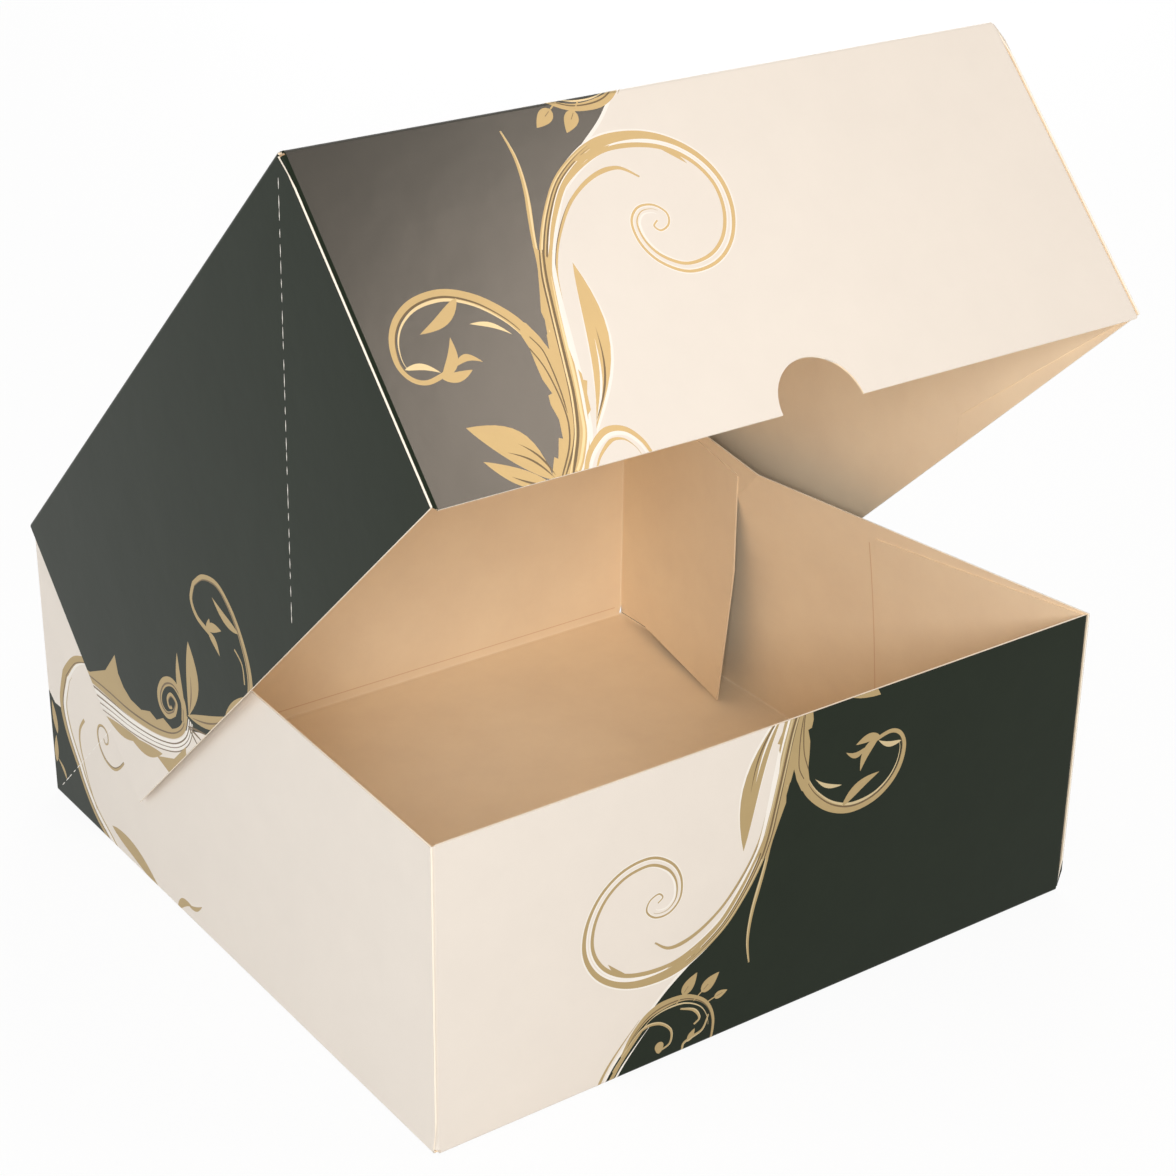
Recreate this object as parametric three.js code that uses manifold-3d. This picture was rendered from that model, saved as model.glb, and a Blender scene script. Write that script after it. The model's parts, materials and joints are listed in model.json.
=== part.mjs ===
// Pastry box: a one-piece folding carton whose lid, hinged along the back, holds a window.
// Millimetres, +Z up. The origin is the centre of the base's underside and the front faces -Y.
import * as THREE from 'three';
import Module from 'manifold-3d';

const wasm = await Module();
wasm.setup();

// Driving dimensions
const baseWidth = 240;
const baseDepth = 240;
const baseHeight = 100;
const boardThickness = 0.6;
const foldRadius = 1.2;
const glueLap = 0.1;

// How far each side wall's top leans in where its slanted crease reaches it
const rightLean = 17.5;
const leftLean = 4.3;

// Glue flaps
const flapLength = 87;
const frontFlapDrop = 5.5;
const backFlapDrop = 5.5;
const flapTopClearance = 0.6;
const flapFloorClearance = 1.6;
const backFlapHeelRise = 4;
const backFlapToeCut = 8.5;
const backFlapToeHeight = 56;
const cornerReliefHeight = 7;
const cornerReliefSetback = 1.6;

// Lid
const lidDepth = 245;
const lidSideHeight = 99;
const lidFrontHeight = 100;
const lidFlapClearance = 0.4;
const lidFlapDrop = 8;
const lidRestAngle = 43.8;
const lidAboveBase = 0.3;
const hingeGap = 0.3;

// Thumb notch in the bottom edge of the lid's front panel
const notchRadius = 14;
const notchOffset = 1.5;

// Window in the lid's top panel and the clear film glued under it
const windowWidth = 150;
const windowDepth = 150;
const windowCornerRadius = 18;
const windowFromHinge = 120;
const filmMargin = 12;
const filmThickness = 0.15;
const filmGap = 0.2;

// Facets
const foldSteps = 4;
const heightSteps = 10;
const frontSteps = 12;
const crossSteps = 8;
const notchSteps = 24;
const cutterOverhang = 5;

// Sizes worked out from the driving dimensions
const halfWidth = baseWidth / 2;
const wallInset = halfWidth - boardThickness;
const lidInnerHalf = halfWidth + lidFlapClearance + boardThickness;
const lidOuterHalf = lidInnerHalf + boardThickness;
const hingeHeight = baseHeight + lidAboveBase + boardThickness / 2;

// A point of the base, from its distance behind the front face
const basePoint = (x, fromFront, z) => new THREE.Vector3(x, fromFront - baseDepth / 2, z);

const range = (from, to, steps) => {
  const values = [];
  for (let i = 0; i <= steps; i += 1) {
    values.push(from + ((to - from) * i) / steps);
  }
  return values;
};

// Solids

function toManifold(positions, triangles) {
  return new wasm.Manifold(new wasm.Mesh({
    numProp: 3,
    vertProperties: new Float32Array(positions),
    triVerts: new Uint32Array(triangles),
  }));
}

// Closed sheet between a grid of outer points and the matching grid of inner points.
// Grid points that coincide are merged, so a row may shrink to a point.
function sheet(rows) {
  const positions = [];
  const keys = new Map();
  const indexOf = (p) => {
    const key = [p.x, p.y, p.z].map((v) => Math.round(v * 1e5)).join();
    if (!keys.has(key)) {
      keys.set(key, positions.length / 3);
      positions.push(p.x, p.y, p.z);
    }
    return keys.get(key);
  };
  const outer = rows.map((row) => row.map((pair) => indexOf(pair.outer)));
  const inner = rows.map((row) => row.map((pair) => indexOf(pair.inner)));
  const triangles = [];
  const addTriangle = (a, b, c) => {
    if (a !== b && b !== c && c !== a) {
      triangles.push(a, b, c);
    }
  };
  const addQuad = (a, b, c, d) => {
    addTriangle(a, b, c);
    addTriangle(a, c, d);
  };
  const lastRow = rows.length - 1;
  const lastColumn = rows[0].length - 1;
  for (let j = 0; j < lastRow; j += 1) {
    for (let i = 0; i < lastColumn; i += 1) {
      addQuad(outer[j][i], outer[j][i + 1], outer[j + 1][i + 1], outer[j + 1][i]);
      addQuad(inner[j][i], inner[j + 1][i], inner[j + 1][i + 1], inner[j][i + 1]);
    }
    addQuad(outer[j][0], outer[j + 1][0], inner[j + 1][0], inner[j][0]);
    addQuad(outer[j][lastColumn], inner[j][lastColumn], inner[j + 1][lastColumn], outer[j + 1][lastColumn]);
  }
  for (let i = 0; i < lastColumn; i += 1) {
    addQuad(outer[0][i], inner[0][i], inner[0][i + 1], outer[0][i + 1]);
    addQuad(outer[lastRow][i], outer[lastRow][i + 1], inner[lastRow][i + 1], inner[lastRow][i]);
  }
  if (signedVolume(positions, triangles) < 0) {
    triangles.reverse();
  }
  return toManifold(positions, triangles);
}

function signedVolume(positions, triangles) {
  let volume = 0;
  const corner = (k) => new THREE.Vector3().fromArray(positions, triangles[k] * 3);
  for (let k = 0; k < triangles.length; k += 3) {
    volume += corner(k).dot(corner(k + 1).cross(corner(k + 2))) / 6;
  }
  return volume;
}

// Three.js geometry to solid: only positions are kept, and equal ones are merged
function solidOf(geometry) {
  const source = geometry.index ? geometry.toNonIndexed() : geometry;
  const array = source.attributes.position.array;
  const positions = [];
  const keys = new Map();
  const triangles = [];
  for (let k = 0; k < array.length; k += 3) {
    const key = [array[k], array[k + 1], array[k + 2]].map((v) => Math.round(v * 1e4)).join();
    if (!keys.has(key)) {
      keys.set(key, positions.length / 3);
      positions.push(array[k], array[k + 1], array[k + 2]);
    }
    triangles.push(keys.get(key));
  }
  return toManifold(positions, triangles);
}

function meshOf(solid, name, material) {
  const result = solid.getMesh();
  const geometry = new THREE.BufferGeometry();
  geometry.setAttribute('position', new THREE.BufferAttribute(new Float32Array(result.vertProperties), 3));
  geometry.setIndex(new THREE.BufferAttribute(new Uint32Array(result.triVerts), 1));
  geometry.computeVertexNormals();
  const mesh = new THREE.Mesh(geometry, material);
  mesh.name = name;
  return mesh;
}

const join = (solids) => solids.reduce((whole, solid) => whole.add(solid));

// Lean of the side walls

const leanOf = (side) => (side > 0 ? rightLean : leftLean);

// The crease rises at 45 degrees from the bottom back corner. Behind it the wall is one flat triangle.
const behindCreaseLean = (side, fromFront) => (leanOf(side) * (baseDepth - fromFront)) / baseHeight;

function wallLean(side, fromFront, z) {
  const creaseFromFront = baseDepth - z;
  if (fromFront >= creaseFromFront) {
    return behindCreaseLean(side, fromFront);
  }
  return leanOf(side) * (z / baseHeight) * (fromFront / creaseFromFront);
}

// Base

// The board's section from under the floor round the bottom fold and up to the top edge:
// for each step, how far in from the wall's outer face and how high, for both faces.
function risingSection(topEdge) {
  const section = [{ outIn: 2 * foldRadius, outZ: 0, inIn: 2 * foldRadius, inZ: boardThickness }];
  for (const turn of range(0, Math.PI / 2, foldSteps)) {
    section.push({
      outIn: foldRadius * (1 - Math.sin(turn)),
      outZ: foldRadius * (1 - Math.cos(turn)),
      inIn: foldRadius - (foldRadius - boardThickness) * Math.sin(turn),
      inZ: foldRadius - (foldRadius - boardThickness) * Math.cos(turn),
    });
  }
  for (const z of range(foldRadius, topEdge, heightSteps).slice(1)) {
    section.push({ outIn: 0, outZ: z, inIn: boardThickness, inZ: z });
  }
  return section;
}

// The front edge of a side wall is set back near the bottom, where the blank is relieved
const frontEdgeSetback = (z) => cornerReliefSetback * Math.max(0, 1 - z / cornerReliefHeight);

function sideWall(side) {
  const rows = risingSection(baseHeight).map((step) => {
    const start = frontEdgeSetback(step.outZ);
    const crease = baseDepth - step.outZ;
    const depths = [
      ...range(start, crease, frontSteps),
      ...range(crease, baseDepth, crossSteps).slice(1),
    ];
    return depths.map((fromFront) => {
      const lean = wallLean(side, fromFront, step.outZ);
      return {
        outer: basePoint(side * (halfWidth - step.outIn - lean), fromFront, step.outZ),
        inner: basePoint(side * (halfWidth - step.inIn - lean), fromFront, step.inZ),
      };
    });
  });
  return sheet(rows);
}

// Front or back wall, between the vertical folds
function crossWall(end) {
  const reach = wallInset - foldRadius;
  const rows = risingSection(baseHeight).map((step) => range(-reach, reach, crossSteps).map((x) => ({
    outer: crossPoint(end, x, step.outIn, step.outZ),
    inner: crossPoint(end, x, step.inIn, step.inZ),
  })));
  return sheet(rows);
}

const crossPoint = (end, x, inward, z) => basePoint(x, end === 'front' ? inward : baseDepth - inward, z);

// Height of a glue flap's lower and upper edge at a distance in from its fold
function flapEdges(end, inward) {
  const share = inward / flapLength;
  const drop = end === 'front' ? frontFlapDrop : backFlapDrop;
  const top = baseHeight - flapTopClearance - (drop - flapTopClearance) * share;
  const heel = end === 'front' ? 0 : backFlapHeelRise * (1 - share);
  return { low: flapFloorClearance + heel, high: top };
}

// A glue flap's outline narrows towards the floor at its free end on the back wall
function flapReach(end, z) {
  if (end === 'front') {
    return flapLength;
  }
  return flapLength - backFlapToeCut * Math.max(0, 1 - z / backFlapToeHeight);
}

// The upright fold and the glue flap behind it, in one sheet with the edge of the wall
function foldAndFlap(end, side) {
  const stations = [];
  for (const turn of range(-Math.PI / 2, 0, foldSteps)) {
    stations.push({ turn });
  }
  for (const share of range(0, 1, frontSteps).slice(1)) {
    stations.push({ share });
  }
  const levels = range(0, 1, heightSteps);
  const rows = levels.map((level) => {
    const row = [edgePair(end, side, level)];
    for (const station of stations) {
      row.push(station.turn === undefined
        ? flapPair(end, side, level, station.share)
        : foldPair(end, side, level, station.turn));
    }
    return row;
  });
  return sheet(rows);
}

const foldLevel = (level) => flapFloorClearance + (baseHeight - flapFloorClearance) * level;

// A little of the wall itself, so that the fold joins it
function edgePair(end, side, level) {
  const z = foldLevel(level);
  const x = side * (wallInset - 2 * foldRadius);
  return { outer: crossPoint(end, x, 0, z), inner: crossPoint(end, x, boardThickness, z) };
}

function foldPair(end, side, level, turn) {
  const at = (radius) => {
    const { low, high } = flapEdges(end, foldRadius);
    const share = (turn + Math.PI / 2) / (Math.PI / 2);
    const wallZ = foldLevel(level);
    const flapZ = low + (high - low) * level;
    const inward = foldRadius + radius * Math.sin(turn);
    const z = wallZ + (flapZ - wallZ) * share;
    const lean = flapLean(end, side, inward, z) * share;
    const x = wallInset - foldRadius + radius * Math.cos(turn) - lean;
    return crossPoint(end, side * (x + glueLap * share), inward, z);
  };
  return { outer: at(foldRadius), inner: at(foldRadius - boardThickness) };
}

function flapPair(end, side, level, share) {
  const roughInward = foldRadius + (flapLength - foldRadius) * share;
  const edges = flapEdges(end, roughInward);
  const z = edges.low + (edges.high - edges.low) * level;
  const inward = foldRadius + (flapReach(end, z) - foldRadius) * share;
  const x = wallInset + glueLap - flapLean(end, side, inward, z);
  return {
    outer: crossPoint(end, side * x, inward, z),
    inner: crossPoint(end, side * (x - boardThickness), inward, z),
  };
}

// Front flaps follow the wall. Back flaps stay flat and so stand off it in front of the crease.
function flapLean(end, side, inward, z) {
  if (end === 'front') {
    return wallLean(side, inward, z);
  }
  return behindCreaseLean(side, baseDepth - inward);
}

function floorPanel() {
  const width = baseWidth - 3 * foldRadius;
  const depth = baseDepth - 3 * foldRadius;
  const panel = new THREE.BoxGeometry(width, depth, boardThickness);
  panel.translate(0, 0, boardThickness / 2);
  return solidOf(panel);
}

function baseTray() {
  const pieces = [floorPanel()];
  for (const end of ['front', 'back']) {
    pieces.push(crossWall(end));
    for (const side of [-1, 1]) {
      pieces.push(foldAndFlap(end, side));
    }
  }
  for (const side of [-1, 1]) {
    pieces.push(sideWall(side));
  }
  return join(pieces);
}

// Lid, drawn closed: the hinge line is the X axis, the lid reaches towards -Y and its walls hang down

const lidTop = boardThickness / 2;
const lidPoint = (x, fromHinge, below) => new THREE.Vector3(x, -fromHinge, lidTop - below);

// The same rounded section as the base's, seen from the lid's top downwards
function hangingSection(height) {
  return risingSection(height);
}

function lidSide(side) {
  const rows = hangingSection(lidSideHeight).map((step) => {
    const end = lidDepth - frontEdgeSetback(step.outZ);
    return range(hingeGap, end, frontSteps).map((fromHinge) => ({
      outer: lidPoint(side * (lidOuterHalf - step.outIn), fromHinge, step.outZ),
      inner: lidPoint(side * (lidOuterHalf - step.inIn), fromHinge, step.inZ),
    }));
  });
  return sheet(rows);
}

function lidFront() {
  const reach = lidInnerHalf - foldRadius;
  const rows = hangingSection(lidFrontHeight).map((step) => range(-reach, reach, crossSteps).map((x) => ({
    outer: lidPoint(x, lidDepth - step.outIn, step.outZ),
    inner: lidPoint(x, lidDepth - step.inIn, step.inZ),
  })));
  return sheet(rows);
}

// The lid's upright fold and the glue flap inside its side panel
function lidFoldAndFlap(side) {
  const levels = range(0, 1, heightSteps);
  const rows = levels.map((level) => {
    const frontBelow = flapFloorClearance + (lidFrontHeight - flapFloorClearance) * level;
    const edgeX = side * (lidInnerHalf - 2 * foldRadius);
    const row = [{
      outer: lidPoint(edgeX, lidDepth, frontBelow),
      inner: lidPoint(edgeX, lidDepth - boardThickness, frontBelow),
    }];
    for (const turn of range(-Math.PI / 2, 0, foldSteps)) {
      row.push(lidFoldPair(side, frontBelow, level, turn));
    }
    for (const share of range(0, 1, crossSteps).slice(1)) {
      row.push(lidFlapPair(side, level, share));
    }
    return row;
  });
  return sheet(rows);
}

// How far below the lid's top a point of the flap lies
function lidFlapBelow(level, share) {
  const low = lidSideHeight - flapTopClearance - (lidFlapDrop - flapTopClearance) * share;
  return flapFloorClearance + (low - flapFloorClearance) * level;
}

function lidFoldPair(side, frontBelow, level, turn) {
  const at = (radius) => {
    const share = (turn + Math.PI / 2) / (Math.PI / 2);
    const x = lidInnerHalf - foldRadius + radius * Math.cos(turn) + glueLap * share;
    const inward = foldRadius + radius * Math.sin(turn);
    const below = frontBelow + (lidFlapBelow(level, 0) - frontBelow) * share;
    return lidPoint(side * x, lidDepth - inward, below);
  };
  return { outer: at(foldRadius), inner: at(foldRadius - boardThickness) };
}

function lidFlapPair(side, level, share) {
  const inward = foldRadius + (flapLength - foldRadius) * share;
  const below = lidFlapBelow(level, share);
  const x = lidInnerHalf + glueLap;
  return {
    outer: lidPoint(side * x, lidDepth - inward, below),
    inner: lidPoint(side * (x - boardThickness), lidDepth - inward, below),
  };
}

function roundedRectangle(width, depth, radius) {
  const x = width / 2 - radius;
  const y = depth / 2 - radius;
  const shape = new THREE.Shape();
  shape.absarc(x, y, radius, 0, Math.PI / 2);
  shape.absarc(-x, y, radius, Math.PI / 2, Math.PI);
  shape.absarc(-x, -y, radius, Math.PI, 1.5 * Math.PI);
  shape.absarc(x, -y, radius, 1.5 * Math.PI, 2 * Math.PI);
  shape.closePath();
  return shape;
}

function windowCutter() {
  const shape = roundedRectangle(windowWidth, windowDepth, windowCornerRadius);
  const height = 2 * cutterOverhang;
  const cutter = new THREE.ExtrudeGeometry(shape, { depth: height, bevelEnabled: false, curveSegments: 8 });
  cutter.translate(0, -windowFromHinge, -height / 2);
  return solidOf(cutter);
}

function notchCutter() {
  const height = 2 * cutterOverhang;
  const cutter = new THREE.CylinderGeometry(notchRadius, notchRadius, height, 2 * notchSteps);
  cutter.translate(notchOffset, -lidDepth, lidTop - lidFrontHeight);
  return solidOf(cutter);
}

function lidTopPanel() {
  const front = lidDepth - 1.5 * foldRadius;
  const panel = new THREE.BoxGeometry(2 * lidOuterHalf - 3 * foldRadius, front - hingeGap, boardThickness);
  panel.translate(0, -(front + hingeGap) / 2, 0);
  return solidOf(panel);
}

function lidShell() {
  const pieces = [lidTopPanel(), lidFront()];
  for (const side of [-1, 1]) {
    pieces.push(lidSide(side));
    pieces.push(lidFoldAndFlap(side));
  }
  return join(pieces).subtract(windowCutter()).subtract(notchCutter());
}

function windowFilm() {
  const shape = roundedRectangle(
    windowWidth + 2 * filmMargin,
    windowDepth + 2 * filmMargin,
    windowCornerRadius / 2,
  );
  const film = new THREE.ExtrudeGeometry(shape, { depth: filmThickness, bevelEnabled: false, curveSegments: 6 });
  film.translate(0, -windowFromHinge, -boardThickness / 2 - filmGap - filmThickness);
  return solidOf(film);
}

// Materials

const board = new THREE.MeshStandardMaterial({ color: 0xeee2d0, roughness: 0.45, metalness: 0 });
const film = new THREE.MeshStandardMaterial({
  color: 0xf4f8fa, roughness: 0.08, metalness: 0, transparent: true, opacity: 0.3,
});

// Assembly

const box = new THREE.Group();
box.add(meshOf(baseTray(), 'base_tray', board));

const lid = new THREE.Group();
lid.position.set(0, baseDepth / 2, hingeHeight);
lid.rotation.x = -THREE.MathUtils.degToRad(lidRestAngle);
lid.add(meshOf(lidShell(), 'lid', board));
lid.add(meshOf(windowFilm(), 'window_film', film));
box.add(lid);

export default box;
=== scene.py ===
"""Pastry box: coated and printed board outside, plain board inside, clear film in the lid's window."""

import json
import math

import bmesh
import bpy
import numpy as np
from mathutils import Matrix, Vector
from mathutils.geometry import delaunay_2d_cdt


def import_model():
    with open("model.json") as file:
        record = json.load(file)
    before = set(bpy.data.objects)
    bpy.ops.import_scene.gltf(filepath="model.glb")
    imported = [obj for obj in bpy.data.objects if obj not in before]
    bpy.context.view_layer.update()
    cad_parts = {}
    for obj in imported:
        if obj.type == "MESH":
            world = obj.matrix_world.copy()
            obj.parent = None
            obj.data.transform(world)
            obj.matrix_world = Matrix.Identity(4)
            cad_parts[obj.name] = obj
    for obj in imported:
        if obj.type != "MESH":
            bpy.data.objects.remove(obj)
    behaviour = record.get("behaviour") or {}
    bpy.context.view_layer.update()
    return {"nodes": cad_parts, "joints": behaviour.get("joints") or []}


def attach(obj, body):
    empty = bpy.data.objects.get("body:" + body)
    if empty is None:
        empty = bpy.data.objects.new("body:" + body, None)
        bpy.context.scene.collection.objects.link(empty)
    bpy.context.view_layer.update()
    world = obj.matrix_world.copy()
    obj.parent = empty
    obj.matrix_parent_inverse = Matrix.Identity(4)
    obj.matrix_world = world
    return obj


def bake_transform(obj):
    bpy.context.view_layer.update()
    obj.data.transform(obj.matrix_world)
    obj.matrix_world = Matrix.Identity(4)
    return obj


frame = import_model()

# Sizes of the board and the box, in millimetres, as in the solids
MM = 0.001
BOARD = 0.6
FOLD = 1.2
HALF_WIDTH = 120.0
DEPTH = 240.0
HEIGHT = 100.0
RIGHT_LEAN = 17.5
LEFT_LEAN = 4.3
RELIEF_HEIGHT = 7.0
RELIEF_SETBACK = 1.6
FLAP_LENGTH = 87.0
LID_INNER_HALF = 121.0
LID_OUTER_HALF = 121.6
LID_DEPTH = 245.0
LID_SIDE = 99.0
LID_FRONT = 100.0
HINGE_GAP = 0.3
NOTCH_RADIUS = 14.0
NOTCH_X = 1.5
WINDOW_SIZE = 150.0
WINDOW_RADIUS = 18.0
WINDOW_FROM_HINGE = 120.0

hinge = frame["joints"][0]
HINGE_AT = Vector(hinge["pos_m"])
REST_ANGLE = -math.radians(hinge["range_deg"][0])
LID_TURN = Matrix.Rotation(-REST_ANGLE, 3, "X")

# How far the printed skin stands off the board
SKIN = 0.05


# Colours, as written in sRGB

def linear(red, green, blue):
    def channel(value):
        share = value / 255
        return share / 12.92 if share <= 0.04045 else ((share + 0.055) / 1.055) ** 2.4
    return (channel(red), channel(green), channel(blue), 1.0)


CREAM = linear(227, 218, 207)
DARK = linear(28, 36, 24)
# The lid front's dark ink: the same dark ink, tinted warmer and lighter as painted sheen
DARK_PAINTED_SHEEN = linear(43, 39, 28)
GOLD = linear(178, 154, 108)
GOLD_LIGHT = linear(204, 184, 142)
BROWN = linear(112, 92, 62)
WHITE = linear(237, 231, 222)
TAN = linear(253, 230, 199)
# Cut edges: the board's own edge colour, made paler than the plain inside as painted highlight for the lit
# top edges
RAW_AND_PAINTED_HIGHLIGHT = linear(250, 240, 224)
CREASE = linear(250, 228, 196)
# Painted shade: a deeper orange tone for thin lines beside the flaps' free edges and low on the back wall
# inside
PAINTED_CREASE_SHADE = linear(236, 202, 164)


# Objects

def add_object(name, data):
    obj = bpy.data.objects.new(name, data)
    bpy.context.scene.collection.objects.link(obj)
    return obj


def mesh_object(name, vertices, faces, materials):
    mesh = bpy.data.meshes.new(name)
    mesh.from_pydata(vertices, [], faces)
    for material in materials:
        mesh.materials.append(material)
    return add_object(name, mesh)


# Materials

# Relief layers: noise scale, height in metres and stretch
BOARD_WAVE = (26, 0.00022, (1, 1, 1))
COAT_GRAIN = (900, 0.000006, (1, 1, 1))
INSIDE_WAVE = (22, 0.0003, (1, 1, 1))
INSIDE_FIBRE = (1400, 0.00002, (1, 0.35, 1))
FILM_WAVE = (14, 0.0006, (1, 1, 1))

# Scale of the slight wandering of tone
COAT_CLOUDS = 60
INSIDE_CLOUDS = 42


def new_material(name):
    material = bpy.data.materials.new(name)
    material.use_nodes = True
    nodes = material.node_tree.nodes
    return material, nodes, material.node_tree.links, nodes["Principled BSDF"]


def mottled(nodes, links, shader, colour, scale, strength):
    """Base colour that wanders a little about the written one."""
    place = nodes.new("ShaderNodeTexCoord")
    noise = nodes.new("ShaderNodeTexNoise")
    noise.inputs["Scale"].default_value = scale
    noise.inputs["Detail"].default_value = 6
    noise.inputs["Roughness"].default_value = 0.62
    ramp = nodes.new("ShaderNodeValToRGB")
    ramp.color_ramp.elements[0].position = 0.3
    ramp.color_ramp.elements[1].position = 0.7
    low = [channel * (1 - strength) for channel in colour[:3]]
    high = [min(1.0, channel * (1 + strength)) for channel in colour[:3]]
    ramp.color_ramp.elements[0].color = (*low, 1)
    ramp.color_ramp.elements[1].color = (*high, 1)
    links.new(place.outputs["Object"], noise.inputs["Vector"])
    links.new(noise.outputs["Fac"], ramp.inputs["Fac"])
    links.new(ramp.outputs["Color"], shader.inputs["Base Color"])
    return place


def bumped(nodes, links, shader, place, layers):
    """Fine relief, one bump on top of the other."""
    normal = None
    for scale, height, stretch in layers:
        mapping = nodes.new("ShaderNodeMapping")
        mapping.inputs["Scale"].default_value = stretch
        noise = nodes.new("ShaderNodeTexNoise")
        noise.inputs["Scale"].default_value = scale
        noise.inputs["Detail"].default_value = 4
        bump = nodes.new("ShaderNodeBump")
        bump.inputs["Strength"].default_value = 1
        bump.inputs["Distance"].default_value = height
        links.new(place.outputs["Object"], mapping.inputs["Vector"])
        links.new(mapping.outputs["Vector"], noise.inputs["Vector"])
        links.new(noise.outputs["Fac"], bump.inputs["Height"])
        if normal is not None:
            links.new(normal, bump.inputs["Normal"])
        normal = bump.outputs["Normal"]
    links.new(normal, shader.inputs["Normal"])


def coated(name, colour, roughness=0.34, strength=0.012, gloss=0.2, metal=0.0):
    """Ink or white under a gloss coat, with the board's faint orange-peel relief."""
    material, nodes, links, shader = new_material(name)
    shader.inputs["Roughness"].default_value = roughness
    shader.inputs["Specular IOR Level"].default_value = gloss
    shader.inputs["Metallic"].default_value = metal
    place = mottled(nodes, links, shader, colour, COAT_CLOUDS, strength)
    bumped(nodes, links, shader, place, [BOARD_WAVE, COAT_GRAIN])
    return material


def plain_board(name, colour):
    """The uncoated side: matt, with fibres and soft clouds of tone."""
    material, nodes, links, shader = new_material(name)
    shader.inputs["Roughness"].default_value = 0.72
    shader.inputs["Specular IOR Level"].default_value = 0.3
    place = mottled(nodes, links, shader, colour, INSIDE_CLOUDS, 0.035)
    bumped(nodes, links, shader, place, [INSIDE_WAVE, INSIDE_FIBRE])
    return material


def clear_film(name):
    material, nodes, links, shader = new_material(name)
    shader.inputs["Base Color"].default_value = (0.72, 0.75, 0.76, 1)
    shader.inputs["Roughness"].default_value = 0.06
    shader.inputs["Alpha"].default_value = 0.14
    shader.inputs["Specular IOR Level"].default_value = 0.9
    place = nodes.new("ShaderNodeTexCoord")
    bumped(nodes, links, shader, place, [FILM_WAVE])
    return material


cream = coated("coated_cream", CREAM)
dark = coated("printed_dark", DARK, 0.3, 0.05, gloss=0.1)
# Painted sheen: the dark ink tinted warmer and lighter, with more gloss, for the lid front's dark field
dark_gloss_painted_sheen = coated("printed_dark_glossy_painted_sheen", DARK_PAINTED_SHEEN, 0.25, 0.05, gloss=0.5)
gold = coated("printed_gold", GOLD, 0.4, 0.03, gloss=0.3, metal=0.35)
gold_light = coated("printed_gold_light", GOLD_LIGHT, 0.4, 0.03, gloss=0.3, metal=0.35)
brown = coated("printed_brown", BROWN, 0.32, 0.04)
white = coated("printed_white", WHITE, 0.3, 0.01)
# The cut edges' colour carries a painted highlight: paler than the plain inside
raw_and_painted_highlight = plain_board("cut_edge_and_painted_highlight", RAW_AND_PAINTED_HIGHLIGHT)
tan = plain_board("plain_inside", TAN)
crease_pale = plain_board("crease_pale", CREASE)
# Painted shade for thin lines beside the flaps' free edges and low on the back wall
painted_crease_shade = plain_board("painted_crease_shade", PAINTED_CREASE_SHADE)
INKS = [cream, dark, gold, gold_light, brown, white, dark_gloss_painted_sheen]
CREAM_INK, DARK_INK, GOLD_INK, LIGHT_INK, BROWN_INK, WHITE_INK, GLOSS_AND_PAINTED_SHEEN_INK = range(7)


# Lean of the side walls, as in the solids

def lean_of(side):
    return RIGHT_LEAN if side > 0 else LEFT_LEAN


def wall_lean(side, from_front, z):
    crease = DEPTH - z
    if from_front >= crease:
        return lean_of(side) * (DEPTH - from_front) / HEIGHT
    return lean_of(side) * (z / HEIGHT) * (from_front / crease)


# From a panel's own flat coordinates to the box, in metres

def base_point(x, from_front, z):
    return Vector((x, from_front - DEPTH / 2, z)) * MM


def lid_point(x, from_hinge, below):
    local = Vector((x, -from_hinge, BOARD / 2 - below)) * MM
    return HINGE_AT + LID_TURN @ local


def round_fold(v, off):
    """How far in from the wall's face and how far along it a point of the board lies, past the fold."""
    if v >= FOLD:
        return -off, v
    turn = min((FOLD - v) / FOLD, math.pi / 2)
    inward = FOLD * (1 - math.cos(turn)) - off * math.cos(turn)
    along = FOLD * (1 - math.sin(turn)) - off * math.sin(turn)
    rest = FOLD - v - FOLD * math.pi / 2
    return inward + max(rest, 0), along


def on_base_front(u, v):
    inward, z = round_fold(v, SKIN)
    return base_point(u, inward, z)


def on_base_back(u, v):
    inward, z = round_fold(v, SKIN)
    return base_point(-u, DEPTH - inward, z)


def on_base_side(side):
    def place(u, v):
        inward, z = round_fold(v, SKIN)
        return base_point(side * (HALF_WIDTH - inward - wall_lean(side, u, max(z, 0))), u, z)
    return place


def on_lid_front(u, v):
    inward, below = round_fold(LID_FRONT - v, SKIN)
    return lid_point(u, LID_DEPTH - inward, below)


def on_lid_side(side):
    def place(u, v):
        inward, below = round_fold(v, SKIN)
        return lid_point(side * (LID_OUTER_HALF - inward), u, below)
    return place


def on_lid_top(u, v):
    return lid_point(u, v, -SKIN)


# Curves and shapes in a panel's flat coordinates

def spline(points, steps=8):
    """A smooth path through a few points."""
    out = []
    last = len(points) - 1
    for i in range(last):
        before = Vector(points[max(i - 1, 0)])
        here = Vector(points[i])
        there = Vector(points[i + 1])
        after = Vector(points[min(i + 2, last)])
        for k in range(steps):
            t = k / steps
            out.append(0.5 * (
                2 * here
                + (there - before) * t
                + (2 * before - 5 * here + 4 * there - after) * t ** 2
                + (3 * here - before - 3 * there + after) * t ** 3
            ))
    out.append(Vector(points[last]))
    return out


def ribbon(path, width, shift=0.0):
    """Short quads along a path.

    Width and shift to its left are numbers, or functions of the share along it.
    """
    lengths = [0.0]
    for a, b in zip(path, path[1:]):
        lengths.append(lengths[-1] + (b - a).length)
    left = []
    right = []
    for i, point in enumerate(path):
        share = lengths[i] / lengths[-1]
        ahead = path[min(i + 1, len(path) - 1)] - path[max(i - 1, 0)]
        across = Vector((-ahead.y, ahead.x)).normalized()
        half = (width(share) if callable(width) else width) / 2
        middle = point + across * (shift(share) if callable(shift) else shift)
        left.append(middle + across * half)
        right.append(middle - across * half)
    return [[left[i], right[i], right[i + 1], left[i + 1]] for i in range(len(path) - 1)]


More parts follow.
